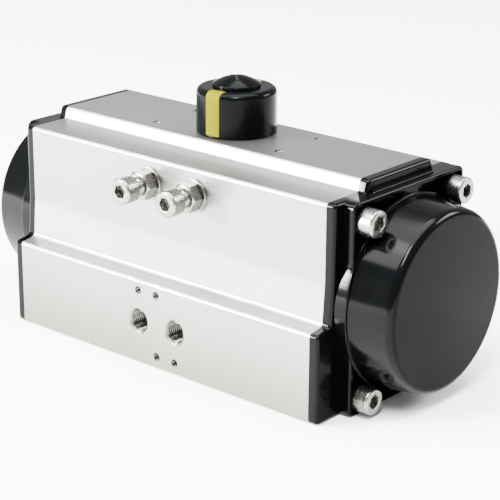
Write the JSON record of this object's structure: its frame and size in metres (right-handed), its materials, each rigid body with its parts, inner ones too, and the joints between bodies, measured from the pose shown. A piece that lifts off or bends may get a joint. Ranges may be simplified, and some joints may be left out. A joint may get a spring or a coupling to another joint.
{
  "type": "rotary pneumatic actuator",
  "caption": "Rack-and-pinion quarter-turn air actuator with spring return, a position indicator, stop screws and a square drive socket.",
  "frame": {"origin": "pinion axis on the mounting face, the middle of the underside bolt circles", "axes": "+Z along the pinion axis to the indicator, +X along the cylinder, -Y towards the air ports and stop screws"},
  "size_m": [0.262, 0.12, 0.1376],
  "materials": {
    "body_aluminium": "satin hard-anodised extrusion",
    "cap_black": "glossy black powder coat on cast aluminium",
    "stainless": "turned stainless steel",
    "steel": "plated machined steel",
    "cast_aluminium": "machined die casting",
    "spring_steel": "dark coated spring wire",
    "rubber": "nitrile rubber",
    "bearing_plastic": "off-white bearing plastic",
    "black_plastic": "matt moulded plastic",
    "indicator_black": "glossy moulded plastic",
    "insert_yellow": "bright yellow moulded plastic"
  },
  "bodies": {
    "housing": {"body": "body_aluminium", "channel_plugs": "steel", "end_cap_left": "cap_black", "end_cap_right": "cap_black", "cap_seal_left": "rubber", "cap_seal_right": "rubber", "cap_screws_left": "stainless", "cap_screws_right": "stainless", "springs_left": "spring_steel", "springs_right": "spring_steel", "cap_spring_seats_left": "black_plastic", "cap_spring_seats_right": "black_plastic", "upper_bearing": "bearing_plastic", "lower_bearing": "bearing_plastic", "upper_shaft_seal": "rubber", "lower_shaft_seal": "rubber", "thrust_disc": "bearing_plastic", "thrust_washer": "steel", "stop_nuts": "stainless", "stop_washers": "stainless", "stop_seals": "rubber"},
    "shaft": {"pinion": "steel", "stop_cam": "steel", "retaining_ring": "spring_steel", "indicator_cup": "indicator_black", "yellow_inserts": "insert_yellow", "black_inserts": "black_plastic", "indicator_screw": "indicator_black"},
    "left_piston": {"piston_left": "cast_aluminium", "piston_seal_left": "rubber", "guide_band_left": "bearing_plastic", "guide_pad_left": "bearing_plastic", "piston_spring_seats_left": "black_plastic"},
    "right_piston": {"piston_right": "cast_aluminium", "piston_seal_right": "rubber", "guide_band_right": "bearing_plastic", "guide_pad_right": "bearing_plastic", "piston_spring_seats_right": "black_plastic"},
    "left_stop": {"stop_screw_left": "stainless"},
    "right_stop": {"stop_screw_right": "stainless"}
  },
  "joints": [
    {"name": "pinion_turn", "type": "hinge", "parent": "housing", "child": "shaft", "pos_m": [0, 0, 0.06], "axis": [0, 0, 1], "range_deg": [0, 90], "stiffness_Nm_per_rad": 0.1},
    {"name": "left_piston_slide", "type": "slide", "parent": "housing", "child": "left_piston", "axis": [-1, 0, 0], "range_m": [0, 0.0236], "deforming": ["springs_left"]},
    {"name": "right_piston_slide", "type": "slide", "parent": "housing", "child": "right_piston", "axis": [1, 0, 0], "range_m": [0, 0.0236], "deforming": ["springs_right"]},
    {"name": "left_stop_slide", "type": "slide", "parent": "housing", "child": "left_stop", "axis": [0, -1, 0], "range_m": [0, 0.0025]},
    {"name": "right_stop_slide", "type": "slide", "parent": "housing", "child": "right_stop", "axis": [0, -1, 0], "range_m": [0, 0.0025]}
  ],
  "couplings": [
    {"joint": "left_piston_slide", "follows": "pinion_turn", "m_per_rad": 0.015},
    {"joint": "right_piston_slide", "follows": "pinion_turn", "m_per_rad": 0.015}
  ]
}
